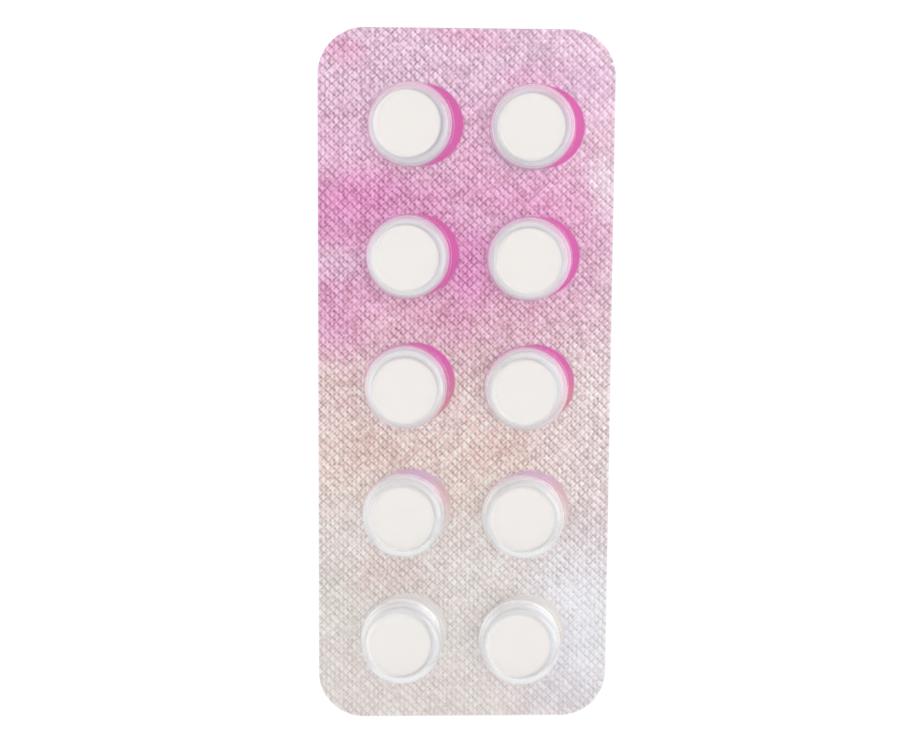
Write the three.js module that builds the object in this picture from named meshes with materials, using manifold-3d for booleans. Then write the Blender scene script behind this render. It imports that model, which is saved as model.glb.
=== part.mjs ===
// Blister strip of ten round tablets: a clear thermoformed film with ten pockets in two columns of five,
// a thin foil sealed under it, and one loose tablet in each pocket.
// Millimetres. The strip lies foil side down on z = 0, pockets up; +Y is its upper end, +X its right side.
import * as THREE from "three";
import { mergeVertices } from "three/addons/utils/BufferGeometryUtils.js";
import Module from "manifold-3d";

const wasm = await Module();
wasm.setup();

// Strip, as it is cut out of the web
const STRIP_WIDTH = 38;
const STRIP_LENGTH = 90;
const CORNER_RADIUS = 6;
const CORNER_STEPS = 8;

// Sheets
const FOIL_THICKNESS = 0.04;
const FILM_THICKNESS = 0.25;
const WALL_THICKNESS = 0.18; // the film thins as it is drawn down the pocket wall
const CROWN_THICKNESS = 0.2;

// Pocket grid, cut slightly askew and off centre
const COLUMNS = 2;
const ROWS = 5;
const COLUMN_PITCH = 15.6;
const ROW_PITCH = 16.8;
const GRID_SHIFT = new THREE.Vector2(0.1, -0.85);
const GRID_SKEW = THREE.MathUtils.degToRad(-0.75);

// Pocket, outside measures above the flange
const POCKET_BASE_RADIUS = 5.4;
const POCKET_DRAFT = THREE.MathUtils.degToRad(4);
const POCKET_HEIGHT = 4.25; // from the underside of the foil to the top of the crown
const FOOT_RADIUS = 0.4;
const SHOULDER_RADIUS = 0.9;
const CROWN_DIP = 0.06; // the middle of the crown stands a touch lower than its rim
const MOUTH_RADIUS = 0.2; // inner edge of the flange, where the pocket opens
const POCKET_SEGMENTS = 28;
const FOOT_STEPS = 2;
const SHOULDER_STEPS = 4;

// Tablet
const TABLET_RADIUS = 4.25;
const TABLET_HEIGHT = 3.3;
const TABLET_EDGE = 0.35;
const TABLET_CROWN = 0.08; // each face bulges this much
const TABLET_SEGMENTS = 28;
const EDGE_STEPS = 2;

// How far each loose tablet has slid inside its pocket, upper row first, left then right
const TABLET_SLIDES = [
  [[-0.4, 0], [-0.2, -0.1]],
  [[-0.3, -0.15], [-0.2, -0.25]],
  [[-0.15, -0.35], [-0.3, -0.3]],
  [[-0.2, -0.25], [-0.2, -0.15]],
  [[-0.4, -0.15], [-0.35, -0.2]],
];

const QUARTER_TURN = Math.PI / 2;

// Points of an arc from one angle to another, both ends included
function arc(centerX, centerY, radius, from, to, steps) {
  return Array.from({ length: steps + 1 }, (_, step) => {
    const angle = from + ((to - from) * step) / steps;
    return new THREE.Vector2(centerX + radius * Math.cos(angle), centerY + radius * Math.sin(angle));
  });
}

// Lathe about Z instead of Y
function revolve(profile, segments) {
  return new THREE.LatheGeometry(profile, segments).rotateX(QUARTER_TURN);
}

function stripOutline() {
  const x = STRIP_WIDTH / 2 - CORNER_RADIUS;
  const y = STRIP_LENGTH / 2 - CORNER_RADIUS;
  const corners = [[x, y], [-x, y], [-x, -y], [x, -y]];
  return corners.flatMap(([centerX, centerY], corner) => {
    const from = corner * QUARTER_TURN;
    return arc(centerX, centerY, CORNER_RADIUS, from, from + QUARTER_TURN, CORNER_STEPS);
  });
}

function sheet(thickness, bottom) {
  const shape = new THREE.Shape(stripOutline());
  const geometry = new THREE.ExtrudeGeometry(shape, { depth: thickness, bevelEnabled: false });
  return geometry.translate(0, 0, bottom);
}

function pocketCentre(row, column) {
  const across = (column - (COLUMNS - 1) / 2) * COLUMN_PITCH;
  const along = ((ROWS - 1) / 2 - row) * ROW_PITCH;
  const centre = new THREE.Vector2(across, along);
  return centre.rotateAround(new THREE.Vector2(), GRID_SKEW).add(GRID_SHIFT);
}

// Half section of a drafted cup, mouth down: foot flare, wall, shoulder and crown, from the foot to the axis
function cupProfile(baseRadius, footHeight, topHeight, foot, shoulder, footSteps, shoulderSteps) {
  const lean = Math.tan(POCKET_DRAFT);
  const wallRadius = (height) => baseRadius - (height - footHeight) * lean;
  const footEnd = footHeight + foot * (1 - Math.sin(POCKET_DRAFT));
  const footCentre = wallRadius(footEnd) + foot * Math.cos(POCKET_DRAFT);
  const shoulderHeight = topHeight - shoulder;
  const shoulderStart = shoulderHeight + shoulder * Math.sin(POCKET_DRAFT);
  const shoulderCentre = wallRadius(shoulderStart) - shoulder * Math.cos(POCKET_DRAFT);
  return [
    ...arc(footCentre, footHeight + foot, foot, -QUARTER_TURN, -Math.PI + POCKET_DRAFT, footSteps),
    ...arc(shoulderCentre, shoulderHeight, shoulder, POCKET_DRAFT, QUARTER_TURN, shoulderSteps),
    new THREE.Vector2(0, topHeight - CROWN_DIP),
  ];
}

// The solid outside of a pocket, standing on the underside of the film
function pocketOutside() {
  const flangeTop = FOIL_THICKNESS + FILM_THICKNESS;
  const cup = cupProfile(
    POCKET_BASE_RADIUS, flangeTop, POCKET_HEIGHT, FOOT_RADIUS, SHOULDER_RADIUS, FOOT_STEPS, SHOULDER_STEPS,
  );
  const footEdge = cup[0].x;
  const profile = [new THREE.Vector2(0, FOIL_THICKNESS), new THREE.Vector2(footEdge, FOIL_THICKNESS), ...cup];
  return revolve(profile, POCKET_SEGMENTS);
}

// The hollow of a pocket, reaching down through the film
function pocketHollow() {
  const below = FOIL_THICKNESS - FILM_THICKNESS;
  const cup = cupProfile(
    POCKET_BASE_RADIUS - WALL_THICKNESS, FOIL_THICKNESS, POCKET_HEIGHT - CROWN_THICKNESS,
    MOUTH_RADIUS, SHOULDER_RADIUS - CROWN_THICKNESS, 1, SHOULDER_STEPS - 1,
  );
  const mouthEdge = cup[0].x;
  const profile = [new THREE.Vector2(0, below), new THREE.Vector2(mouthEdge, below), ...cup];
  return revolve(profile, POCKET_SEGMENTS);
}

function toSolid(geometry) {
  const bare = geometry.clone();
  bare.deleteAttribute("normal");
  bare.deleteAttribute("uv");
  const merged = mergeVertices(bare, 1e-5);
  const mesh = new wasm.Mesh({
    numProp: 3,
    vertProperties: new Float32Array(merged.attributes.position.array),
    triVerts: new Uint32Array(merged.index.array),
  });
  return new wasm.Manifold(mesh);
}

function toGeometry(solid) {
  const mesh = solid.getMesh();
  const geometry = new THREE.BufferGeometry();
  geometry.setAttribute("position", new THREE.BufferAttribute(mesh.vertProperties, mesh.numProp));
  geometry.setIndex(new THREE.BufferAttribute(mesh.triVerts, 1));
  geometry.computeVertexNormals();
  return geometry;
}

// The film is one thin shell: a flat flange that rises into ten pockets, open towards the foil
function filmGeometry() {
  const outside = pocketOutside();
  const hollow = pocketHollow();
  const centres = [];
  for (let row = 0; row < ROWS; row += 1) {
    for (let column = 0; column < COLUMNS; column += 1) {
      centres.push(pocketCentre(row, column));
    }
  }
  let film = toSolid(sheet(FILM_THICKNESS, FOIL_THICKNESS));
  for (const { x, y } of centres) {
    film = film.add(toSolid(outside.clone().translate(x, y, 0)));
  }
  for (const { x, y } of centres) {
    film = film.subtract(toSolid(hollow.clone().translate(x, y, 0)));
  }
  return toGeometry(film);
}

// Flat-faced round tablet with softened edges, standing on z = 0
function tabletGeometry() {
  const low = TABLET_CROWN + TABLET_EDGE;
  const high = TABLET_HEIGHT - TABLET_CROWN - TABLET_EDGE;
  const edgeCentre = TABLET_RADIUS - TABLET_EDGE;
  const profile = [
    new THREE.Vector2(0, 0),
    ...arc(edgeCentre, low, TABLET_EDGE, -QUARTER_TURN, 0, EDGE_STEPS),
    ...arc(edgeCentre, high, TABLET_EDGE, 0, QUARTER_TURN, EDGE_STEPS),
    new THREE.Vector2(0, TABLET_HEIGHT),
  ];
  return revolve(profile, TABLET_SEGMENTS);
}

function finish(color, roughness, metalness, opacity = 1) {
  return new THREE.MeshStandardMaterial({ color, roughness, metalness, opacity, transparent: opacity < 1 });
}

const strip = new THREE.Group();

const foil = new THREE.Mesh(sheet(FOIL_THICKNESS, 0), finish(0xd9a3bb, 0.35, 0.9));
foil.name = "lidding_foil";
strip.add(foil);

const film = new THREE.Mesh(filmGeometry(), finish(0xf4f6f8, 0.12, 0, 0.25));
film.name = "blister_film";
strip.add(film);

const tablet = tabletGeometry();
const SIDES = ["left", "right"];
for (let row = 0; row < ROWS; row += 1) {
  for (let column = 0; column < COLUMNS; column += 1) {
    const [slideX, slideY] = TABLET_SLIDES[row][column];
    const centre = pocketCentre(row, column);
    const mesh = new THREE.Mesh(tablet, finish(0xf3f0ec, 0.85, 0));
    mesh.name = `tablet_${row + 1}_${SIDES[column]}`;
    mesh.position.set(centre.x + slideX, centre.y + slideY, FOIL_THICKNESS);
    strip.add(mesh);
  }
}

export default strip;
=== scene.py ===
import math

import bpy
from bpy.props import FloatProperty, FloatVectorProperty, IntProperty, PointerProperty
from mathutils import Matrix, Vector


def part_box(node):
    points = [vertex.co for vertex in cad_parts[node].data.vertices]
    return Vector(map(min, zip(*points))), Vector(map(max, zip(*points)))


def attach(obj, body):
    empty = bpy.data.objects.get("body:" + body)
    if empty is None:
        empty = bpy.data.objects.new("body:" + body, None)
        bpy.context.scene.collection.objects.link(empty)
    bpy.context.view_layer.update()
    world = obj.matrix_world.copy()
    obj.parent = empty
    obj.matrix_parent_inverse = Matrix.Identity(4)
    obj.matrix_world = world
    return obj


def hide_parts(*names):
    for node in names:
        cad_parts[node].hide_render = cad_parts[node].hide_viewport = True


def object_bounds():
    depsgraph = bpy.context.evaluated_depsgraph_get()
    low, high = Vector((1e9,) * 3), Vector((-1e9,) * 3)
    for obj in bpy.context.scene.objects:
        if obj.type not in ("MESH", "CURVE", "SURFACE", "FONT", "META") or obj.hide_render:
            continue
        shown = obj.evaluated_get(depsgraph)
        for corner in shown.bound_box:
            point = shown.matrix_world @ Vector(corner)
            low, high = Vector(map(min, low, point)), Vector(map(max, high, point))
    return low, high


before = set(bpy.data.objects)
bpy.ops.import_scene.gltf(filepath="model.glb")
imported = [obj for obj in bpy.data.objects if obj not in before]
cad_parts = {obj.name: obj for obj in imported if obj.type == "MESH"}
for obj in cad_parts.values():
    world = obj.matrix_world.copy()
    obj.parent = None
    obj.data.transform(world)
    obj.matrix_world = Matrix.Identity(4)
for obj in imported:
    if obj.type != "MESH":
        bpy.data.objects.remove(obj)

CAD_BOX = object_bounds()

bl_info = {
    "name": "Blister strip of tablets",
    "version": (1, 0, 0),
    "blender": (4, 5, 0),
    "location": "View3D > Sidebar > Blister Strip",
    "description": "Makes a knurled foil, a clear pocket film and round tablets around a fixed frame",
    "category": "Object",
}

FRAME_WIDTH_PX = 912
MM = 0.001
FOIL_NODE = "lidding_foil"
FILM_NODE = "blister_film"
SIDES = ("left", "right")
HOLLOW = "hollow"
WELD = 1e-7
QUARTER = math.pi / 2

# Steps of the curves and of the knurl's grid
STEPS_PER_CELL = 3
CORNER_STEPS = 24
POCKET_SEGMENTS = 80
TABLET_SEGMENTS = 96
FOOT_STEPS = 4
SHOULDER_STEPS = 7
CROWN_STEPS = 2
EDGE_STEPS = 6
SHARP_ANGLE = math.radians(40)
TRIM_MARGIN = 1 * MM
CUTTER_HEIGHT = 4 * MM

# Knurl: depth of its second set of grooves, blur of the smooth zones' edges, and shake of its lines
SLIGHT_GROOVE = 0.75
ZONE_BLUR = 0.12 * MM
KNURL_SHAKE = 0.3 * MM
# Waves of light on the knurl: turns per cell along and across, strength and lead in degrees
KNURL_WAVES = (
    (1, 0, -0.115, 0),
    (0, 1, -0.055, 0),
    (1, -1, 0.085, 20),
    (1, 1, 0.02, 0),
    (2, 0, 0.065, 155),
    (0, 2, 0.075, 90),
)

# Foil under each tablet, a little off the pocket's axis: pale, and darker in the upper rows as painted
# shadow of the tablets
INSIDE_SHIFT = (-0.1 * MM, -0.25 * MM, 0)
INSIDE_RADIUS = 5.3 * MM
INSIDE_FADE = 0.6 * MM

# Soft patches in the seal's tint: middle, half width and half height in millimetres, colour and strength
PATCHES = (
    ((-16.3, 42.5), (3.2, 2.6), "reddish", 0.7),
    ((0.5, 43.8), (5.0, 1.8), "reddish", 0.5),
    ((8.7, 38.8), (5.0, 3.2), "magenta", 0.35),
    ((15.8, 38.2), (3.8, 3.4), "purple", 0.6),
    ((0.0, 30.5), (4.0, 4.0), "reddish", 0.35),
    ((-13.5, 23.5), (9.0, 4.2), "magenta", 0.8),
    ((0.0, 14.5), (4.5, 6.5), "magenta", 0.9),
    ((-16.5, 15.0), (4.5, 3.0), "rose", 0.7),
    ((-16.5, 6.8), (5.0, 4.5), "magenta", 0.45),
    ((-3.0, 7.5), (6.0, 3.2), "reddish", 0.6),
    ((-12.6, -9.0), (4.5, 2.6), "salmon", 0.6),
    ((4.4, -9.6), (4.5, 2.6), "salmon", 0.6),
    ((-10.5, -26.0), (6.0, 3.5), "salmon", 0.4),
    ((-16.5, -29.0), (4.0, 5.0), "grey", 0.5),
    ((1.0, 21.0), (5.0, 2.5), "rose", 0.4),
    ((17.8, 25.0), (2.0, 4.0), "lilac", 0.4),
    ((16.0, -34.0), (8.0, 14.0), "lilac", 1.0),
)

# Cloud of the drawn film: seen through and seen at a low angle; and painted white at the lower rims of the
# last rows, standing in for the tablet's side seen through the curved film
THIN_HAZE = 0.24
THICK_HAZE = 0.5
RIM_PAINTED_WHITE = 0.45
CLOUD_HEIGHT = 2.5 * MM
RIM_ROWS = (-12 * MM, -22 * MM)

# Stage: each lamp's direction in degrees and its share of the power, and the floor under the strip
LAMPS = ((10, 1.0), (90, 0.35), (180, 0.7))
LAMP_ELEVATION = math.radians(50)
FLOOR_HALF = 3.0
FLOOR_GAP = 0.02 * MM
FLOOR_GLOW = 0.75


def paint(red, green, blue):
    """A linear colour from the 0 to 255 levels that a picture shows."""
    def linear(level):
        share = level / 255
        return share / 12.92 if share <= 0.04045 else ((share + 0.055) / 1.055) ** 2.4
    return (linear(red), linear(green), linear(blue))


def length(name, description, default):
    return FloatProperty(
        name=name, description=description, default=default, min=0, precision=5, unit="LENGTH")


def turn(name, description, degrees):
    return FloatProperty(name=name, description=description, default=math.radians(degrees), unit="ROTATION")


def place(name, description, default, size=2):
    return FloatVectorProperty(
        name=name, description=description, default=default, size=size, precision=5, unit="LENGTH")


def tint(name, description, *levels):
    return FloatVectorProperty(
        name=name, description=description, default=paint(*levels), size=3, min=0, max=1, subtype="COLOR")


class StripSizes(bpy.types.PropertyGroup):
    """Sizes of the strip, its knurled seal and its pockets"""
    corner_radius: length("Corner radius", "Radius of the strip's four corners", 6 * MM)
    film_thickness: length("Film", "Thickness of the flange", 0.25 * MM)
    wall_thickness: length("Wall", "Thickness of the drawn pocket wall", 0.18 * MM)
    crown_thickness: length("Crown", "Thickness of the pocket's flat top", 0.2 * MM)
    seal_gap: length("Seal gap", "Gap between the foil and the film over it", 0.005 * MM)

    rows: IntProperty(name="Rows", description="Pockets along the strip", default=5, min=1)
    columns: IntProperty(name="Columns", description="Pockets across the strip", default=2, min=1)
    column_pitch: length("Column pitch", "Distance between the two columns", 15.6 * MM)
    row_pitch: length("Row pitch", "Distance between two rows", 16.8 * MM)
    grid_shift: place(
        "Grid shift", "How far the pocket grid lies off the strip's middle", (0.1 * MM, -0.85 * MM))
    grid_turn: turn("Grid turn", "How far the pocket grid is cut askew", -0.75)

    pocket_radius: length("Pocket radius", "Outer radius of a pocket at the flange", 5.4 * MM)
    pocket_draft: turn("Draft", "Lean of the pocket wall", 4)
    foot_radius: length("Foot", "Radius between flange and wall", 0.4 * MM)
    mouth_radius: length("Mouth", "Radius inside the pocket's mouth", 0.2 * MM)
    shoulder_radius: length("Shoulder", "Radius between wall and crown", 0.9 * MM)
    crown_dip: length("Crown dip", "How much lower the middle of the crown is", 0.06 * MM)

    knurl_pitch: length("Knurl pitch", "Distance between two lines of the diamond knurl", 0.81 * MM)
    knurl_rise: length("Knurl rise", "Height of each knurl bump", 0.05 * MM)
    smooth_radius: length("Smooth radius", "Radius of the round zone that the knurl leaves free", 5.3 * MM)
    seal_shift: place("Seal shift", "How far the free zones lie off the pockets", (1.1 * MM, 0.42 * MM))
    seal_drift: place("Seal drift", "How much more they lie off with each row up", (0.22 * MM, -0.2 * MM))

    tablet_edge: length("Tablet edge", "Radius of a tablet's edges", 0.35 * MM)
    tablet_crown: length("Tablet crown", "Bulge of each tablet face", 0.08 * MM)


class StripColours(bpy.types.PropertyGroup):
    """Colours of the knurled seal down the strip, of its smooth zones, the film and the tablets"""
    knurl_head: tint("Knurl, head", "Seal at the upper end", 241, 206, 225)
    knurl_rose: tint("Knurl, rose", "Seal beside the first row", 244, 197, 222)
    knurl_magenta: tint("Knurl, magenta", "Seal round the second row", 241, 172, 211)
    knurl_pink: tint("Knurl, pink", "Seal above the third row", 241, 198, 212)
    knurl_salmon: tint("Knurl, salmon", "Seal below the third row", 248, 218, 218)
    knurl_beige: tint("Knurl, beige", "Seal round the fourth row", 250, 226, 220)
    knurl_silver: tint("Knurl, silver", "Seal at the lower end", 248, 236, 232)
    knurl_edge: tint("Knurl, right edge", "Paler seal along the right edge", 239, 222, 226)
    patch_magenta: tint("Patch, magenta", "Deep patches in the upper half", 240, 160, 210)
    patch_reddish: tint("Patch, reddish", "Redder patches in the upper half", 240, 174, 204)
    patch_purple: tint("Patch, purple", "Bluer patch at the upper right", 234, 194, 222)
    patch_rose: tint("Patch, rose", "Paler patches in the upper half", 244, 212, 230)
    patch_lilac: tint("Patch, lilac", "Pale patches at the edges", 253, 247, 252)
    patch_salmon: tint("Patch, salmon", "Brownish patches in the middle", 236, 202, 196)
    patch_grey: tint("Patch, grey", "Greyer patch at the lower left", 240, 231, 222)
    smooth_magenta: tint("Smooth, magenta", "Smooth foil of the upper rows", 237, 99, 185)
    smooth_red: tint("Smooth, red", "Smooth foil at the third row's lower edge", 236, 150, 160)
    smooth_blush: tint("Smooth, blush", "Smooth foil at the fourth row's sides", 243, 198, 200)
    smooth_mauve: tint("Smooth, mauve", "Smooth foil at the fourth row's upper edge", 239, 196, 223)
    smooth_grey: tint("Smooth, grey", "Smooth foil of the last row", 254, 244, 240)
    # Painted shadow: the foil under the upper rows' tablets is darker to stand in for the tablets' shadow
    inside_shaded_high: tint("Inside, upper", "Foil under the tablets of the upper rows", 214, 209, 220)
    inside_low: tint("Inside, lower", "Foil under the tablets of the lower rows", 242, 242, 246)
    foil_back: tint("Foil back", "Plain foil underneath", 214, 212, 210)
    film: tint("Film", "What the clear film lets through", 251, 252, 252)
    film_haze: tint("Film haze", "Slight cloud where the film is drawn down the pocket walls", 251, 251, 252)
    film_gloss: tint("Film gloss", "Colour of the film's reflections", 244, 247, 250)
    tablet: tint("Tablet", "Pressed powder", 247, 238, 234)
    floor: tint("Floor", "Pale floor", 250, 250, 250)


class StripView(bpy.types.PropertyGroup):
    """Camera and studio light"""
    camera_place: place("Camera", "Where the camera stands", (-9.4 * MM, 23.8 * MM, 205 * MM), 3)
    camera_pitch: turn("Pitch", "Camera turned about X", -6.44)
    camera_yaw: turn("Yaw", "Camera turned about its own upright axis", -2.29)
    camera_roll: turn("Roll", "Camera turned about its line of sight", 0.14)
    focal_px: FloatProperty(
        name="Focal length", description="In pixels of the picture", default=1586, min=100)
    lamp_reach: length("Lamp distance", "From the strip to each lamp", 0.8)
    lamp_side: length("Lamp size", "Side of each square lamp", 0.55)
    lamp_power: FloatProperty(
        name="Lamp power", description="Power of the right-hand lamp", default=1.85, unit="POWER")
    sky_level: FloatProperty(
        name="Sky level", description="Strength of the plain surround", default=0.88, min=0)


def sizes():
    return bpy.context.scene.strip_sizes


def colours():
    return bpy.context.scene.strip_colours


def view():
    return bpy.context.scene.strip_view


# Nodes

def add_node(tree, kind, **settings):
    node = tree.nodes.new(kind)
    for name, value in settings.items():
        setattr(node, name, value)
    return node


def feed(tree, socket, value):
    """Links a socket into another, or sets a plain value on it."""
    if isinstance(value, bpy.types.NodeSocket):
        tree.links.new(value, socket)
    else:
        socket.default_value = value


def wire(tree, kind, inputs, output=0, **settings):
    """Adds a node, feeds its inputs by name or number, and returns one of its outputs."""
    node = add_node(tree, kind, **settings)
    for key, value in inputs.items():
        feed(tree, node.inputs[key], value)
    return node.outputs[output]


def calc(tree, operation, *values, clamp=False):
    return wire(tree, "ShaderNodeMath", dict(enumerate(values)), operation=operation, use_clamp=clamp)


def vector_calc(tree, operation, *values):
    return wire(tree, "ShaderNodeVectorMath", dict(enumerate(values)), operation=operation)


def split(tree, vector):
    node = add_node(tree, "ShaderNodeSeparateXYZ")
    feed(tree, node.inputs[0], vector)
    return node.outputs


def join(tree, x, y, z):
    return wire(tree, "ShaderNodeCombineXYZ", {0: x, 1: y, 2: z})


def noise(tree, place_socket, scale, detail=2.0, roughness=0.5):
    return wire(
        tree, "ShaderNodeTexNoise",
        {"Vector": place_socket, "Scale": scale, "Detail": detail, "Roughness": roughness})


def wander(tree, place_socket, scale, detail, reach):
    """A position moved about by smooth noise, level with the strip and by up to half the reach."""
    cloud = wire(
        tree, "ShaderNodeTexNoise",
        {"Vector": place_socket, "Scale": scale, "Detail": detail}, output="Color")
    offset = vector_calc(tree, "SUBTRACT", cloud, (0.5, 0.5, 0.5))
    return vector_calc(tree, "MULTIPLY_ADD", offset, (reach, reach, 0), place_socket)


def remap(tree, value, low, high, to_low=0.0, to_high=1.0, kind="LINEAR"):
    return wire(
        tree, "ShaderNodeMapRange",
        {"Value": value, "From Min": low, "From Max": high, "To Min": to_low, "To Max": to_high},
        interpolation_type=kind)


def knurl_steps(tree, position, pitch):
    """A position counted in knurl cells, along the two diagonals."""
    x, y, _ = split(tree, position)
    diagonal = calc(tree, "MULTIPLY", pitch, math.sqrt(2))
    along = calc(tree, "DIVIDE", calc(tree, "ADD", x, y), diagonal)
    return along, calc(tree, "DIVIDE", calc(tree, "SUBTRACT", y, x), diagonal)


def knurl_cell(tree, position, pitch):
    """Height of the diamond cells as a share: grooves one way fall in full, the other way in part."""
    along, across = knurl_steps(tree, position, pitch)
    deep = calc(tree, "MULTIPLY", calc(tree, "PINGPONG", along, 0.5), STEPS_PER_CELL, clamp=True)
    slight = calc(tree, "MULTIPLY", calc(tree, "PINGPONG", across, 0.5), STEPS_PER_CELL, clamp=True)
    return calc(tree, "MINIMUM", deep, remap(tree, slight, 0, 1, 1 - SLIGHT_GROOVE, 1))


def grid_distance(tree, position, size, shift=(0, 0, 0), drift=(0, 0, 0)):
    """How far a position lies from the middle of the nearest pocket, or from a point beside it."""
    middle = size["Grid Shift"]
    turned = wire(
        tree, "ShaderNodeVectorRotate",
        {"Vector": position, "Center": middle, "Angle": calc(tree, "MULTIPLY", size["Grid Turn"], -1)},
        rotation_type="Z_AXIS")
    in_grid = vector_calc(tree, "SUBTRACT", turned, middle)
    _, up, _ = split(tree, in_grid)
    rows_up = calc(tree, "DIVIDE", up, size["Row Pitch"])
    beside = vector_calc(tree, "MULTIPLY_ADD", drift, join(tree, rows_up, rows_up, 0), shift)
    x, y, _ = split(tree, vector_calc(tree, "SUBTRACT", in_grid, beside))
    half_column = calc(tree, "MULTIPLY", size["Column Pitch"], 0.5)
    off_x = calc(tree, "SUBTRACT", calc(tree, "ABSOLUTE", x), half_column)
    last = (sizes().rows - 1) / 2
    row = calc(tree, "ROUND", calc(tree, "DIVIDE", y, size["Row Pitch"]))
    row = calc(tree, "MAXIMUM", calc(tree, "MINIMUM", row, last), -last)
    off_y = calc(tree, "SUBTRACT", y, calc(tree, "MULTIPLY", row, size["Row Pitch"]))
    squares = calc(tree, "MULTIPLY_ADD", off_x, off_x, calc(tree, "MULTIPLY", off_y, off_y))
    return calc(tree, "SQRT", squares)


def knurl(tree, position, size):
    """Where the seal is knurled and how high its bumps stand, both as shares from 0 to 1."""
    from_zone = grid_distance(tree, position, size, size["Seal Shift"], size["Seal Drift"])
    past_zone = calc(tree, "SUBTRACT", from_zone, size["Smooth Radius"])
    past_pocket = calc(tree, "SUBTRACT", grid_distance(tree, position, size), size["Pocket Radius"])
    knurled = remap(tree, calc(tree, "MINIMUM", past_zone, past_pocket), -ZONE_BLUR, ZONE_BLUR)
    return knurled, calc(tree, "MULTIPLY", knurl_cell(tree, position, size["Knurl Pitch"]), knurled)


# Geometry trees

SIZE_INPUTS = {
    "Width": "NodeSocketFloat",
    "Length": "NodeSocketFloat",
    "Corner Radius": "NodeSocketFloat",
    "Bottom": "NodeSocketFloat",
    "Thickness": "NodeSocketFloat",
    "Knurl Pitch": "NodeSocketFloat",
    "Knurl Rise": "NodeSocketFloat",
    "Smooth Radius": "NodeSocketFloat",
    "Pocket Radius": "NodeSocketFloat",
    "Seal Shift": "NodeSocketVector",
    "Seal Drift": "NodeSocketVector",
    "Column Pitch": "NodeSocketFloat",
    "Row Pitch": "NodeSocketFloat",
    "Grid Shift": "NodeSocketVector",
    "Grid Turn": "NodeSocketFloat",
}


def size_values(bottom, thickness):
    """What the trees' size inputs hold, also read by the materials that follow the knurl."""
    s = sizes()
    low, high = CAD_BOX
    return {
        "Width": high.x - low.x,
        "Length": high.y - low.y,
        "Corner Radius": s.corner_radius,
        "Bottom": bottom,
        "Thickness": thickness,
        "Knurl Pitch": s.knurl_pitch,
        "Knurl Rise": s.knurl_rise,
        "Smooth Radius": s.smooth_radius,
        "Pocket Radius": s.pocket_radius,
        "Seal Shift": (*s.seal_shift, 0),
        "Seal Drift": (*s.seal_drift, 0),
        "Column Pitch": s.column_pitch,
        "Row Pitch": s.row_pitch,
        "Grid Shift": (*s.grid_shift, 0),
        "Grid Turn": s.grid_turn,
    }


def new_geometry_tree(name):
    tree = bpy.data.node_groups.new(name, "GeometryNodeTree")
    tree.interface.new_socket("Geometry", in_out="INPUT", socket_type="NodeSocketGeometry")
    tree.interface.new_socket("Geometry", in_out="OUTPUT", socket_type="NodeSocketGeometry")
    for label, kind in SIZE_INPUTS.items():
        tree.interface.new_socket(label, in_out="INPUT", socket_type=kind)
    source = add_node(tree, "NodeGroupInput").outputs
    return tree, source["Geometry"], {label: source[label] for label in SIZE_INPUTS}


def thicken(tree, flat, height):
    """A closed slab from an open sheet that faces up."""
    top = add_node(tree, "GeometryNodeExtrudeMesh", mode="FACES")
    settings = {"Mesh": flat, "Offset": (0, 0, 1), "Offset Scale": height, "Individual": False}
    for key, value in settings.items():
        feed(tree, top.inputs[key], value)
    under = wire(tree, "GeometryNodeFlipFaces", {"Mesh": flat})
    both = add_node(tree, "GeometryNodeJoinGeometry")
    for part in (top.outputs["Mesh"], under):
        tree.links.new(part, both.inputs[0])
    return wire(tree, "GeometryNodeMergeByDistance", {"Geometry": both.outputs[0], "Distance": WELD})


def boolean(tree, operation, *parts):
    """Joins, or intersects, the parts, or takes the others away from the first."""
    node = add_node(tree, "GeometryNodeMeshBoolean", operation=operation, solver="MANIFOLD")
    rest = parts
    if operation == "DIFFERENCE":
        tree.links.new(parts[0], node.inputs["Mesh 1"])
        rest = parts[1:]
    for part in rest:
        tree.links.new(part, node.inputs["Mesh 2"])
    return node.outputs["Mesh"]


def outline_prism(tree, size):
    """The strip's outline with its rounded corners, as a tall cutter."""
    frame_curve = wire(
        tree, "GeometryNodeCurvePrimitiveQuadrilateral",
        {"Width": size["Width"], "Height": size["Length"]})
    rounded = wire(
        tree, "GeometryNodeFilletCurve",
        {"Curve": frame_curve, "Radius": size["Corner Radius"], "Count": CORNER_STEPS}, mode="POLY")
    face = wire(tree, "GeometryNodeFillCurve", {"Curve": rounded}, mode="NGONS")
    lowered = wire(
        tree, "GeometryNodeTransform", {"Geometry": face, "Translation": (0, 0, -CUTTER_HEIGHT / 2)})
    return thicken(tree, lowered, CUTTER_HEIGHT)


def past(tree, place_socket, side):
    """Whether a place lies past half of a side of the strip and the trim margin."""
    limit = calc(tree, "MULTIPLY_ADD", side, 0.5, TRIM_MARGIN)
    return calc(tree, "GREATER_THAN", calc(tree, "ABSOLUTE", place_socket), limit)


def diagonal_grid(tree, size):
    """A flat grid along the knurl's lines, trimmed to the strip's size and a little more."""
    step = calc(tree, "DIVIDE", size["Knurl Pitch"], STEPS_PER_CELL)
    reach = calc(tree, "ADD", calc(tree, "ADD", size["Width"], size["Length"]), 2 * TRIM_MARGIN)
    diagonal = calc(tree, "MULTIPLY", step, 2 * math.sqrt(2))
    steps = calc(tree, "MULTIPLY", calc(tree, "CEIL", calc(tree, "DIVIDE", reach, diagonal)), 2)
    span = calc(tree, "MULTIPLY", steps, step)
    count = calc(tree, "ADD", steps, 1)
    grid = wire(
        tree, "GeometryNodeMeshGrid",
        {"Size X": span, "Size Y": span, "Vertices X": count, "Vertices Y": count})
    turned = wire(
        tree, "GeometryNodeTransform", {"Geometry": grid, "Rotation": (0, 0, math.radians(45))})
    x, y, _ = split(tree, wire(tree, "GeometryNodeInputPosition", {}))
    outside = calc(tree, "MAXIMUM", past(tree, x, size["Width"]), past(tree, y, size["Length"]))
    return wire(
        tree, "GeometryNodeDeleteGeometry", {"Geometry": turned, "Selection": outside}, domain="POINT")


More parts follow.
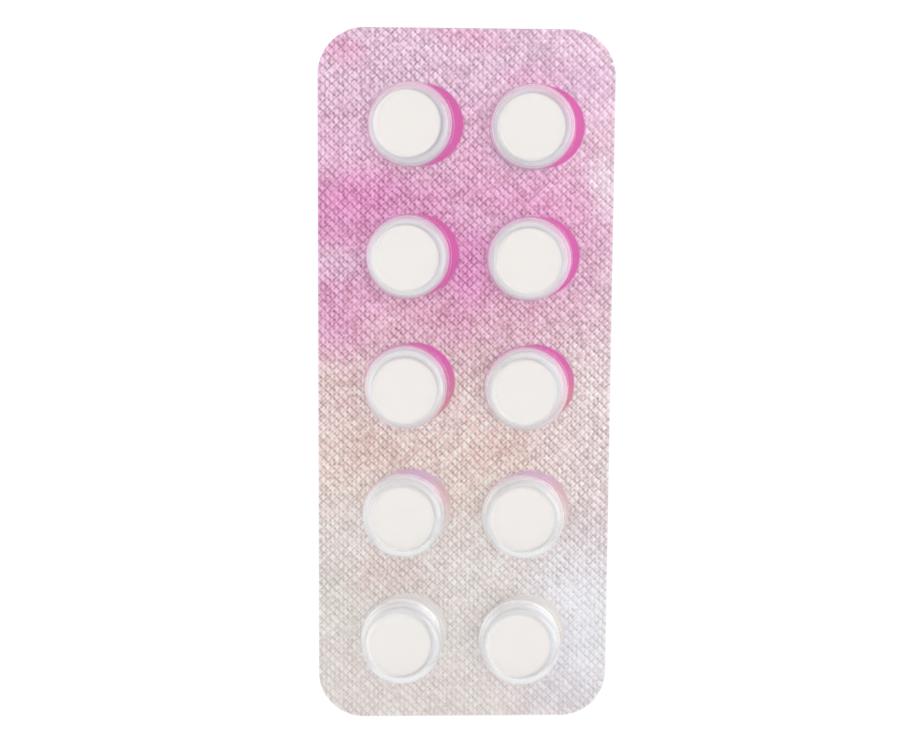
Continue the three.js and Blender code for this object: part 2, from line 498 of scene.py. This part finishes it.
def knurled_slab(tree, size):
    """A sheet that rises in one uneven bump for each knurl cell."""
    position = wire(tree, "GeometryNodeInputPosition", {})
    _, relief = knurl(tree, position, size)
    uneven = remap(tree, noise(tree, position, 900), 0.3, 0.7, 0.6, 1)
    rise = calc(tree, "MULTIPLY", calc(tree, "MULTIPLY", relief, uneven), size["Knurl Rise"])
    offset = join(tree, 0, 0, calc(tree, "ADD", rise, size["Bottom"]))
    bumpy = wire(
        tree, "GeometryNodeSetPosition", {"Geometry": diagonal_grid(tree, size), "Offset": offset})
    faceted = wire(tree, "GeometryNodeTriangulate", {"Mesh": bumpy}, quad_method="FIXED")
    return thicken(tree, faceted, size["Thickness"])


def pocket_points(tree, size):
    """One point for each pocket, on the grid as it is cut askew."""
    spread = calc(tree, "MULTIPLY", size["Row Pitch"], sizes().rows - 1)
    across = calc(tree, "MULTIPLY", size["Column Pitch"], sizes().columns - 1)
    grid = wire(
        tree, "GeometryNodeMeshGrid",
        {"Size X": across, "Size Y": spread, "Vertices X": sizes().columns, "Vertices Y": sizes().rows})
    turned = join(tree, 0, 0, size["Grid Turn"])
    return wire(
        tree, "GeometryNodeTransform",
        {"Geometry": grid, "Translation": size["Grid Shift"], "Rotation": turned})


def finish_tree(tree, mesh, front, back=None):
    """Shades the faces smooth up to an angle, gives them their materials and ends the tree."""
    smooth = wire(tree, "GeometryNodeSetShadeSmooth", {"Geometry": mesh}, domain="FACE")
    angle = wire(tree, "GeometryNodeInputMeshEdgeAngle", {})
    sharp = calc(tree, "GREATER_THAN", angle, SHARP_ANGLE)
    creased = wire(
        tree, "GeometryNodeSetShadeSmooth",
        {"Geometry": smooth, "Selection": sharp, "Shade Smooth": False}, domain="EDGE")
    real = wire(tree, "GeometryNodeRealizeInstances", {"Geometry": creased})
    painted = wire(tree, "GeometryNodeSetMaterial", {"Geometry": real, "Material": front})
    if back:
        _, _, up = split(tree, wire(tree, "GeometryNodeInputNormal", {}))
        painted = wire(
            tree, "GeometryNodeSetMaterial",
            {"Geometry": painted, "Selection": calc(tree, "LESS_THAN", up, 0), "Material": back})
    end = add_node(tree, "NodeGroupOutput")
    tree.links.new(painted, end.inputs["Geometry"])


def foil_tree(front, back):
    tree, _, size = new_geometry_tree("Knurled foil")
    sheet = boolean(tree, "INTERSECT", knurled_slab(tree, size), outline_prism(tree, size))
    finish_tree(tree, sheet, front, back)
    return tree


def at_points(tree, points, part):
    """A copy of a part at each point, as real mesh."""
    copies = wire(tree, "GeometryNodeInstanceOnPoints", {"Points": points, "Instance": part})
    return wire(tree, "GeometryNodeRealizeInstances", {"Geometry": copies})


def film_tree(material):
    """The film: knurled flange, joined with the pockets' outsides, less their hollows."""
    tree, cups, size = new_geometry_tree("Pocket film")
    flange = boolean(tree, "INTERSECT", knurled_slab(tree, size), outline_prism(tree, size))
    hollow = wire(tree, "GeometryNodeInputNamedAttribute", {"Name": HOLLOW}, data_type="BOOLEAN")
    kinds = add_node(tree, "GeometryNodeSeparateGeometry", domain="FACE")
    feed(tree, kinds.inputs["Geometry"], cups)
    feed(tree, kinds.inputs["Selection"], hollow)
    points = pocket_points(tree, size)
    hollows = at_points(tree, points, kinds.outputs["Selection"])
    outsides = at_points(tree, points, kinds.outputs["Inverted"])
    film = boolean(tree, "DIFFERENCE", boolean(tree, "UNION", flange, outsides), hollows)
    finish_tree(tree, film, material)
    return tree


def grow(name, mesh, tree, values):
    """Runs a tree on a mesh and returns its result as a plain mesh object."""
    seed = bpy.data.objects.new(name + "_seed", mesh)
    bpy.context.scene.collection.objects.link(seed)
    modifier = seed.modifiers.new("Build", "NODES")
    modifier.node_group = tree
    for item in tree.interface.items_tree:
        if item.item_type == "SOCKET" and item.in_out == "INPUT" and item.name in values:
            modifier[item.identifier] = values[item.name]
    graph = bpy.context.evaluated_depsgraph_get()
    made = bpy.data.meshes.new_from_object(seed.evaluated_get(graph), depsgraph=graph)
    bpy.data.objects.remove(seed)
    piece = bpy.data.objects.new(name, made)
    made.name = name
    bpy.context.scene.collection.objects.link(piece)
    if not made.polygons:
        raise RuntimeError(f"{name} came out empty")
    return piece


# Turned shapes

def arc(centre_x, centre_z, radius, start, end, steps):
    angles = (start + (end - start) * step / steps for step in range(steps + 1))
    return [
        (centre_x + radius * math.cos(angle), centre_z + radius * math.sin(angle)) for angle in angles]


def dished(radius, height, dip, steps):
    """Points of a shallow dish from just inside its rim to the axis."""
    return [(radius * (1 - step / steps), height - dip * (1 - (1 - step / steps) ** 2))
            for step in range(1, steps + 1)]


def turned_faces(profile, segments, centre=(0, 0), first=0):
    """Points and faces of a profile turned about an upright axis, from the axis below to the axis above."""
    points = []
    rings = []
    for radius, height in profile:
        count = segments if radius > WELD else 1
        rings.append(range(first + len(points), first + len(points) + count))
        for step in range(count):
            angle = math.tau * step / segments
            points.append((
                centre[0] + radius * math.cos(angle), centre[1] + radius * math.sin(angle), height))
    faces = []
    for lower, upper in zip(rings, rings[1:]):
        for step in range(segments):
            after = (step + 1) % segments
            corners = [
                lower[step % len(lower)], lower[after % len(lower)],
                upper[after % len(upper)], upper[step % len(upper)]]
            faces.append(list(dict.fromkeys(corners)))
    return points, faces


def cup_profile(base_radius, foot_height, top_height, foot, shoulder):
    """Half section of a drafted cup, mouth down: foot flare, wall, shoulder and dished crown."""
    s = sizes()
    lean = math.tan(s.pocket_draft)
    foot_end = foot_height + foot * (1 - math.sin(s.pocket_draft))
    foot_centre = base_radius - (foot_end - foot_height) * lean + foot * math.cos(s.pocket_draft)
    shoulder_height = top_height - shoulder
    shoulder_start = shoulder_height + shoulder * math.sin(s.pocket_draft)
    shoulder_centre = (
        base_radius - (shoulder_start - foot_height) * lean - shoulder * math.cos(s.pocket_draft))
    return [
        *arc(foot_centre, foot_height + foot, foot, -QUARTER, -math.pi + s.pocket_draft, FOOT_STEPS),
        *arc(shoulder_centre, shoulder_height, shoulder, s.pocket_draft, QUARTER, SHOULDER_STEPS),
        *dished(shoulder_centre, top_height, s.crown_dip, CROWN_STEPS),
    ]


def foil_top():
    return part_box(FOIL_NODE)[1].z


def cup_mesh():
    """The outside and the hollow of one pocket, as two closed solids; the hollow's faces are marked."""
    s = sizes()
    film_bottom = foil_top() + s.seal_gap
    flange_top = foil_top() + s.film_thickness
    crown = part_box(FILM_NODE)[1].z
    outside = cup_profile(s.pocket_radius, flange_top, crown, s.foot_radius, s.shoulder_radius)
    root_height = flange_top - s.film_thickness * 0.25
    outside = [(0, root_height), (outside[0][0], root_height), *outside]
    hollow = cup_profile(
        s.pocket_radius - s.wall_thickness, film_bottom, crown - s.crown_thickness,
        s.mouth_radius, s.shoulder_radius - s.crown_thickness)
    below = film_bottom - s.film_thickness
    hollow = [(0, below), (hollow[0][0], below), *hollow]
    points, faces = turned_faces(outside, POCKET_SEGMENTS)
    outside_faces = len(faces)
    more_points, more_faces = turned_faces(hollow, POCKET_SEGMENTS, first=len(points))
    mesh = bpy.data.meshes.new("pocket_cup")
    mesh.from_pydata(points + more_points, [], faces + more_faces)
    mark = mesh.attributes.new(HOLLOW, "BOOLEAN", "FACE")
    mark.data.foreach_set("value", [face >= outside_faces for face in range(len(mesh.polygons))])
    return mesh


# Materials

def new_material(name):
    material = bpy.data.materials.new(name)
    material.use_nodes = True
    tree = material.node_tree
    tree.nodes.clear()
    return material, tree


def end_material(tree, shader):
    end = add_node(tree, "ShaderNodeOutputMaterial")
    tree.links.new(shader, end.inputs["Surface"])


def object_place(tree):
    return add_node(tree, "ShaderNodeTexCoord").outputs["Object"]


def blend_colours(tree, share, first, second, kind="MIX"):
    node = add_node(tree, "ShaderNodeMix", data_type="RGBA", blend_type=kind)
    feed(tree, node.inputs[0], share)
    for socket, value in ((node.inputs[6], first), (node.inputs[7], second)):
        feed(tree, socket, value if isinstance(value, bpy.types.NodeSocket) else (*value, 1))
    return node.outputs[2]


def ramp(tree, share, stops):
    """A colour that runs through the given stops, each a place from 0 to 1 and a colour."""
    node = add_node(tree, "ShaderNodeValToRGB")
    feed(tree, node.inputs[0], share)
    elements = node.color_ramp.elements
    while len(elements) < len(stops):
        elements.new(0.5)
    for element, (where, colour) in zip(elements, stops):
        element.position = where
        element.color = (*colour, 1)
    return node.outputs[0]


def patch_share(tree, where, middle, half_size, strength):
    """How much of a soft oval patch lies over a position."""
    centred = vector_calc(tree, "SUBTRACT", where, (middle[0] * MM, middle[1] * MM, 0))
    shrink = (1 / (half_size[0] * MM), 1 / (half_size[1] * MM), 0)
    scaled = vector_calc(tree, "MULTIPLY", centred, shrink)
    reach = wire(tree, "ShaderNodeVectorMath", {0: scaled}, output=1, operation="LENGTH")
    return remap(tree, reach, 1.4, 0.1, 0, strength, "SMOOTHSTEP")


def knurled_tint(tree, where, size):
    """Tint of the seal: pink at the head, then magenta, salmon and silver, with soft patches."""
    c = colours()
    warped = wander(tree, where, 110, 3, 7 * MM)
    x, y, _ = split(tree, warped)
    half = size["Length"] / 2
    tinted = ramp(tree, remap(tree, y, -half, half), [
        (0.02, c.knurl_silver), (0.24, c.knurl_silver), (0.36, c.knurl_beige), (0.49, c.knurl_salmon),
        (0.56, c.knurl_pink), (0.66, c.knurl_magenta), (0.75, c.knurl_magenta), (0.84, c.knurl_rose),
        (0.95, c.knurl_head)])
    rightward = calc(tree, "SUBTRACT", x, calc(tree, "MULTIPLY", y, 0.15))
    tinted = blend_colours(tree, remap(tree, rightward, 8 * MM, 20 * MM, 0, 0.75), tinted, c.knurl_edge)
    for middle, half_size, colour, strength in PATCHES:
        share = patch_share(tree, warped, middle, half_size, strength)
        tinted = blend_colours(tree, share, tinted, getattr(c, "patch_" + colour))
    cloud = remap(tree, noise(tree, where, 90, 3), 0.3, 0.7, 0.94, 1.04)
    return blend_colours(tree, 1.0, tinted, join(tree, cloud, cloud, cloud), "MULTIPLY")


def contrast(tree, where, half):
    """How strong the knurl's light and shade is: in full above, less at the lower end and at the right."""
    x, y, _ = split(tree, where)
    upward = remap(tree, y, -half, half * 0.1, 0.5, 1, "SMOOTHSTEP")
    rightward = remap(tree, calc(tree, "MULTIPLY_ADD", y, 0.5, x), 14 * MM, 36 * MM, 1, 0.7)
    return calc(tree, "MULTIPLY", upward, rightward)


def cell_shade(tree, where, size):
    """Light on the knurl, around 1: grooves darker one way, and a bright flank on each bump."""
    shaken = wander(tree, where, 900, 2, KNURL_SHAKE)
    along, across = knurl_steps(tree, shaken, size["Knurl Pitch"])
    shade = 0.0
    for turns_along, turns_across, strength, lead in KNURL_WAVES:
        crosswise = calc(tree, "MULTIPLY", across, turns_across)
        turns = calc(tree, "MULTIPLY_ADD", along, turns_along, crosswise)
        angle = calc(tree, "MULTIPLY_ADD", turns, math.tau, math.radians(lead))
        shade = calc(tree, "MULTIPLY_ADD", calc(tree, "COSINE", angle), strength, shade)
    # Noise that makes the painted light and shade of the knurl stronger or weaker from place to place
    shade_strength_noise = remap(tree, noise(tree, where, 500, 3), 0.3, 0.7, 0.5, 1.5)
    cell = join(tree, calc(tree, "FLOOR", along), calc(tree, "FLOOR", across), 0)
    chance = remap(tree, wire(tree, "ShaderNodeTexWhiteNoise", {"Vector": cell}), 0, 1, -0.11, 0.11)
    fleck = remap(tree, noise(tree, where, 2200, 2), 0.3, 0.7, -0.2, 0.2)
    uneven = calc(tree, "ADD", calc(tree, "MULTIPLY_ADD", shade, shade_strength_noise, chance), fleck)
    return calc(tree, "MULTIPLY_ADD", uneven, contrast(tree, where, size["Length"] / 2), 1)


def smooth_colour(tree, where, size):
    """Foil without knurl: a deeper tint down the strip, and pale foil under the tablets, darker under the
    upper rows as painted shadow of the tablets.
    """
    c = colours()
    _, y, _ = split(tree, where)
    half = size["Length"] / 2
    tinted = ramp(tree, remap(tree, y, -half, half), [
        (0.1, c.smooth_grey), (0.27, c.smooth_grey), (0.335, c.smooth_blush), (0.36, c.smooth_mauve),
        (0.45, c.smooth_red), (0.53, c.smooth_magenta), (1.0, c.smooth_magenta)])
    from_tablet = grid_distance(tree, where, size, INSIDE_SHIFT)
    under_tablet = remap(tree, from_tablet, INSIDE_RADIUS, INSIDE_RADIUS - INSIDE_FADE)
    # Painted shadow: the foil under the tablets darkens towards the upper rows
    inside = blend_colours(tree, remap(tree, y, half * 0.2, half * 0.7), c.inside_low, c.inside_shaded_high)
    return blend_colours(tree, under_tablet, tinted, inside)


def seal_colour(tree, where, size):
    """Knurled cells in painted light and shade, whose painted shade also deepens the tint in the grooves,
    and the smooth zones that the knurl leaves free.
    """
    knurled, _ = knurl(tree, where, size)
    shade = cell_shade(tree, where, size)
    tint_once = knurled_tint(tree, where, size)
    # Painted shade: the tint times itself stands in for light reflected twice in the grooves, mixed in where
    # the painted shade is darkest
    twice_reflected_tint = vector_calc(tree, "MULTIPLY", tint_once, tint_once)
    shade_deepened_tint = blend_colours(tree, remap(tree, shade, 1.15, 0.7, 0, 0.6), tint_once, twice_reflected_tint)
    # Painted light and shade: the seal's tint times the knurl's painted light
    painted_knurl_light = vector_calc(tree, "MULTIPLY", shade_deepened_tint, join(tree, shade, shade, shade))
    return blend_colours(tree, knurled, smooth_colour(tree, where, size), painted_knurl_light)


def foil_front_material():
    material, tree = new_material("knurled_seal")
    size = size_values(0, 0)
    where = object_place(tree)
    colour = seal_colour(tree, where, size)
    smudge = noise(tree, where, 220, 4, 0.6)
    grain = noise(tree, where, 6000, 2)
    waves = noise(tree, where, 160, 2)
    height = calc(tree, "MULTIPLY_ADD", waves, 12, calc(tree, "MULTIPLY", grain, 0.15))
    bump = wire(tree, "ShaderNodeBump", {"Height": height, "Strength": 0.5, "Distance": 0.00002})
    skin = wire(tree, "ShaderNodeBsdfPrincipled", {
        "Base Color": colour, "Metallic": 0.9, "Roughness": remap(tree, smudge, 0.3, 0.7, 0.26, 0.38),
        "Normal": bump})
    end_material(tree, skin)
    return material


def foil_back_material():
    material, tree = new_material("plain_foil")
    where = object_place(tree)
    streaks = wire(tree, "ShaderNodeMapping", {"Vector": where, "Scale": (1, 0.05, 1)})
    rolled = noise(tree, streaks, 5000, 3)
    streak = remap(tree, rolled, 0.3, 0.7, 0, 0.35)
    streaked = blend_colours(tree, streak, colours().foil_back, (0.5, 0.5, 0.51))
    # Painted shade: the foil back is darker in the knurl's grooves and full bright on the bumps and in the
    # smooth zones
    knurled, relief = knurl(tree, where, size_values(0, 0))
    groove_shade = remap(tree, calc(tree, "SUBTRACT", relief, knurled), -1, 0, 0.8, 1)
    colour = vector_calc(tree, "MULTIPLY", streaked, join(tree, groove_shade, groove_shade, groove_shade))
    bump = wire(tree, "ShaderNodeBump", {"Height": rolled, "Strength": 0.2, "Distance": 0.00001})
    skin = wire(tree, "ShaderNodeBsdfPrincipled", {
        "Base Color": colour, "Metallic": 1.0, "Roughness": remap(tree, rolled, 0.3, 0.7, 0.28, 0.4),
        "Normal": bump})
    end_material(tree, skin)
    return material


def clear_gloss(tree, where):
    """Clear film with a faint ripple, glossier at a low angle."""
    c = colours()
    ripple = noise(tree, where, 260, 3)
    bump = wire(tree, "ShaderNodeBump", {"Height": ripple, "Strength": 0.1, "Distance": 0.0001})
    gloss = wire(tree, "ShaderNodeBsdfGlossy", {
        "Color": (*c.film_gloss, 1), "Roughness": remap(tree, ripple, 0.3, 0.7, 0.05, 0.12),
        "Normal": bump})
    through = wire(tree, "ShaderNodeBsdfTransparent", {"Color": (*c.film, 1)})
    facing = wire(tree, "ShaderNodeLayerWeight", {"Blend": 0.25, "Normal": bump}, output=1)
    shine = remap(tree, facing, 0, 1, 0.03, 0.75)
    return wire(tree, "ShaderNodeMixShader", {0: shine, 1: through, 2: gloss})


def lower_rim_share(tree, where, from_axis, size):
    """Where a pocket's wall faces the strip's lower end, on the last rows: the place of the painted white
    that stands in for the tablet's side seen through the curved film.
    """
    _, y, _ = split(tree, where)
    from_above = grid_distance(tree, where, size, (0, MM, 0))
    lower_side = calc(tree, "SUBTRACT", from_above, from_axis)
    return calc(
        tree, "MULTIPLY", remap(tree, lower_side, 0.2 * MM, 0.8 * MM), remap(tree, y, *RIM_ROWS))


def drawn_share(tree, where, from_axis, lower_rim):
    """How cloudy the film is: only where it is drawn down the wall, and most at a low angle, with painted
    white at the lower rims of the last rows.
    """
    s = sizes()
    _, _, height = split(tree, where)
    crown_edge = s.pocket_radius - 1.25 * s.shoulder_radius
    steep = remap(tree, from_axis, crown_edge - 0.4 * MM, crown_edge + 0.2 * MM, 0, 1, "SMOOTHSTEP")
    flange = s.knurl_rise + s.film_thickness + foil_top()
    above = calc(
        tree, "MULTIPLY", remap(tree, height, flange, flange + 0.1 * MM),
        remap(tree, height, flange, flange + CLOUD_HEIGHT, 0.3, 1))
    grazing = wire(tree, "ShaderNodeLayerWeight", {"Blend": 0.5}, output=1)
    haze = remap(tree, grazing, 0.4, 0.95, THIN_HAZE, THICK_HAZE, "SMOOTHSTEP")
    # Painted white at the lower rims, standing in for the tablet's side seen through the curved film
    haze = calc(tree, "MAXIMUM", haze, calc(tree, "MULTIPLY", lower_rim, RIM_PAINTED_WHITE))
    return calc(tree, "MULTIPLY", calc(tree, "MULTIPLY", steep, above), haze)


def film_material():
    material, tree = new_material("clear_film")
    where = object_place(tree)
    size = size_values(0, 0)
    from_axis = grid_distance(tree, where, size)
    lower_rim = lower_rim_share(tree, where, from_axis, size)
    scattered = {"Color": (*colours().film_haze, 1)}
    matte = wire(tree, "ShaderNodeBsdfDiffuse", scattered)
    lit_through = wire(tree, "ShaderNodeBsdfTranslucent", scattered)
    # At the lower rims the cloud is more matte than lit through, so the painted white shows brighter
    passed = remap(tree, lower_rim, 0, 1, 0.5, 0.25)
    cloudy = wire(tree, "ShaderNodeMixShader", {0: passed, 1: matte, 2: lit_through})
    drawn = drawn_share(tree, where, from_axis, lower_rim)
    clear = clear_gloss(tree, where)
    end_material(tree, wire(tree, "ShaderNodeMixShader", {0: drawn, 1: clear, 2: cloudy}))
    return material


def tablet_material():
    material, tree = new_material("pressed_powder")
    where = object_place(tree)
    grain = noise(tree, where, 5200, 3, 0.65)
    cloud = noise(tree, where, 420, 3)
    dusty = remap(tree, cloud, 0.3, 0.7, 0, 0.3)
    colour = blend_colours(tree, dusty, colours().tablet, (0.86, 0.83, 0.79))
    bump = wire(tree, "ShaderNodeBump", {"Height": grain, "Strength": 0.35, "Distance": 0.00003})
    skin = wire(tree, "ShaderNodeBsdfPrincipled", {
        "Base Color": colour, "Roughness": remap(tree, grain, 0.3, 0.7, 0.7, 0.9), "Normal": bump})
    end_material(tree, skin)
    return material


def floor_material():
    material, tree = new_material("pale_floor")
    white = (*colours().floor, 1)
    rays = add_node(tree, "ShaderNodeLightPath").outputs
    seen = calc(
        tree, "ADD", rays["Is Camera Ray"],
        calc(tree, "ADD", rays["Is Glossy Ray"], rays["Is Transmission Ray"]), clamp=True)
    matte = wire(tree, "ShaderNodeBsdfDiffuse", {"Color": white})
    glow = wire(tree, "ShaderNodeEmission", {"Color": (1, 1, 1, 1), "Strength": 1.0})
    share = calc(tree, "MULTIPLY", seen, FLOOR_GLOW)
    end_material(tree, wire(tree, "ShaderNodeMixShader", {0: share, 1: matte, 2: glow}))
    return material


# Operators

class BLISTER_OT_foil(bpy.types.Operator):
    """Make the thin foil with its knurled seal and smooth round zones"""
    bl_idname = "blister.foil"
    bl_label = "Knurled foil"

    def execute(self, context):
        tree = foil_tree(foil_front_material(), foil_back_material())
        piece = grow("knurled_foil", bpy.data.meshes.new("nothing"), tree, size_values(0, foil_top()))
        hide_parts(FOIL_NODE)
        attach(piece, "root")
        return {"FINISHED"}


class BLISTER_OT_film(bpy.types.Operator):
    """Make the clear film with its knurled flange and ten drawn pockets"""
    bl_idname = "blister.film"
    bl_label = "Pocket film"

    def execute(self, context):
        s = sizes()
        bottom = foil_top() + s.seal_gap
        values = size_values(bottom, s.film_thickness - s.seal_gap)
        piece = grow("pocket_film", cup_mesh(), film_tree(film_material()), values)
        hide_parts(FILM_NODE)
        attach(piece, "root")
        return {"FINISHED"}


class BLISTER_OT_tablets(bpy.types.Operator):
    """Make one loose tablet in each pocket"""
    bl_idname = "blister.tablets"
    bl_label = "Tablets"

    def execute(self, context):
        material = tablet_material()
        for row in range(1, sizes().rows + 1):
            for side in SIDES:
                self.make_tablet(f"tablet_{row}_{side}", material)
        return {"FINISHED"}

    def make_tablet(self, node, material):
        s = sizes()
        low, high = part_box(node)
        middle = (low + high) / 2
        edge_centre = (high.x - low.x) / 2 - s.tablet_edge
        low_edge = low.z + s.tablet_crown + s.tablet_edge
        high_edge = high.z - s.tablet_crown - s.tablet_edge
        face = dished(edge_centre, s.tablet_crown, s.tablet_crown, CROWN_STEPS)
        lower_face = [(radius, low.z + rise) for radius, rise in reversed(face)]
        upper_face = [(radius, high.z - rise) for radius, rise in face]
        profile = [
            *lower_face,
            *arc(edge_centre, low_edge, s.tablet_edge, -QUARTER, 0, EDGE_STEPS),
            *arc(edge_centre, high_edge, s.tablet_edge, 0, QUARTER, EDGE_STEPS),
            *upper_face,
        ]
        points, faces = turned_faces(profile, TABLET_SEGMENTS, (middle.x, middle.y))
        mesh = bpy.data.meshes.new("pressed_" + node)
        mesh.from_pydata(points, [], faces)
        mesh.polygons.foreach_set("use_smooth", [True] * len(mesh.polygons))
        mesh.materials.append(material)
        piece = bpy.data.objects.new("pressed_" + node, mesh)
        bpy.context.scene.collection.objects.link(piece)
        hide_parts(node)
        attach(piece, "root")


class BLISTER_OT_stage(bpy.types.Operator):
    """Lay a pale floor and light it softly from above and three sides"""
    bl_idname = "blister.stage"
    bl_label = "Floor and light"

    def execute(self, context):
        self.lay_floor()
        self.light_surround()
        for azimuth, share in LAMPS:
            self.hang_lamp(math.radians(azimuth), LAMP_ELEVATION, share)
        context.scene.view_settings.view_transform = "Standard"
        return {"FINISHED"}

    def lay_floor(self):
        mesh = bpy.data.meshes.new("floor")
        corners = [
            (FLOOR_HALF * x, FLOOR_HALF * y, -FLOOR_GAP) for x, y in ((-1, -1), (1, -1), (1, 1), (-1, 1))]
        mesh.from_pydata(corners, [], [(0, 1, 2, 3)])
        mesh.materials.append(floor_material())
        floor = bpy.data.objects.new("floor", mesh)
        bpy.context.scene.collection.objects.link(floor)

    def light_surround(self):
        world = bpy.data.worlds.new("surround")
        bpy.context.scene.world = world
        world.use_nodes = True
        tree = world.node_tree
        tree.nodes.clear()
        rays = add_node(tree, "ShaderNodeLightPath").outputs
        level = remap(tree, rays["Is Camera Ray"], 0, 1, view().sky_level, 1)
        sky = wire(tree, "ShaderNodeBackground", {"Color": (1, 1, 1, 1), "Strength": level})
        end = add_node(tree, "ShaderNodeOutputWorld")
        tree.links.new(sky, end.inputs["Surface"])

    def hang_lamp(self, azimuth, elevation, share):
        v = view()
        lamp = bpy.data.lights.new("softbox", "AREA")
        lamp.energy = v.lamp_power * share
        lamp.size = v.lamp_side
        holder = bpy.data.objects.new("softbox", lamp)
        level = math.cos(elevation)
        toward = Vector((math.cos(azimuth) * level, math.sin(azimuth) * level, math.sin(elevation)))
        holder.location = toward * v.lamp_reach
        holder.rotation_mode = "QUATERNION"
        holder.rotation_quaternion = toward.to_track_quat("Z", "Y")
        bpy.context.scene.collection.objects.link(holder)


class BLISTER_OT_camera(bpy.types.Operator):
    """Look down on the strip, as nearly face-on as the picture does"""
    bl_idname = "blister.camera"
    bl_label = "Camera"

    def execute(self, context):
        v = view()
        data = bpy.data.cameras.new("camera")
        data.sensor_width = 36
        data.lens = v.focal_px / FRAME_WIDTH_PX * data.sensor_width
        data.clip_start = 0.01
        holder = bpy.data.objects.new("camera", data)
        turned = (
            Matrix.Rotation(v.camera_pitch, 4, "X") @ Matrix.Rotation(v.camera_yaw, 4, "Y")
            @ Matrix.Rotation(v.camera_roll, 4, "Z"))
        holder.matrix_world = Matrix.Translation(v.camera_place) @ turned
        context.scene.collection.objects.link(holder)
        context.scene.camera = holder
        return {"FINISHED"}


class BLISTER_PT_panel(bpy.types.Panel):
    """The strip's pieces, sizes and colours"""
    bl_idname = "BLISTER_PT_panel"
    bl_label = "Blister Strip"
    bl_space_type = "VIEW_3D"
    bl_region_type = "UI"
    bl_category = "Blister Strip"

    def draw(self, context):
        layout = self.layout
        for operator in STEPS:
            layout.operator(operator.bl_idname)
        for settings in (sizes(), colours(), view()):
            box = layout.box()
            for name in settings.__annotations__:
                box.prop(settings, name)


STEPS = (BLISTER_OT_camera, BLISTER_OT_foil, BLISTER_OT_film, BLISTER_OT_tablets, BLISTER_OT_stage)
SETTINGS = {"strip_sizes": StripSizes, "strip_colours": StripColours, "strip_view": StripView}


def register():
    for cls in (*SETTINGS.values(), *STEPS, BLISTER_PT_panel):
        bpy.utils.register_class(cls)
    for name, cls in SETTINGS.items():
        setattr(bpy.types.Scene, name, PointerProperty(type=cls))


def unregister():
    for name in SETTINGS:
        delattr(bpy.types.Scene, name)
    for cls in reversed((*SETTINGS.values(), *STEPS, BLISTER_PT_panel)):
        bpy.utils.unregister_class(cls)


def main():
    register()
    bpy.ops.blister.camera()
    bpy.ops.blister.foil()
    bpy.ops.blister.film()
    bpy.ops.blister.tablets()
    bpy.ops.blister.stage()


if __name__ == "__main__":
    main()
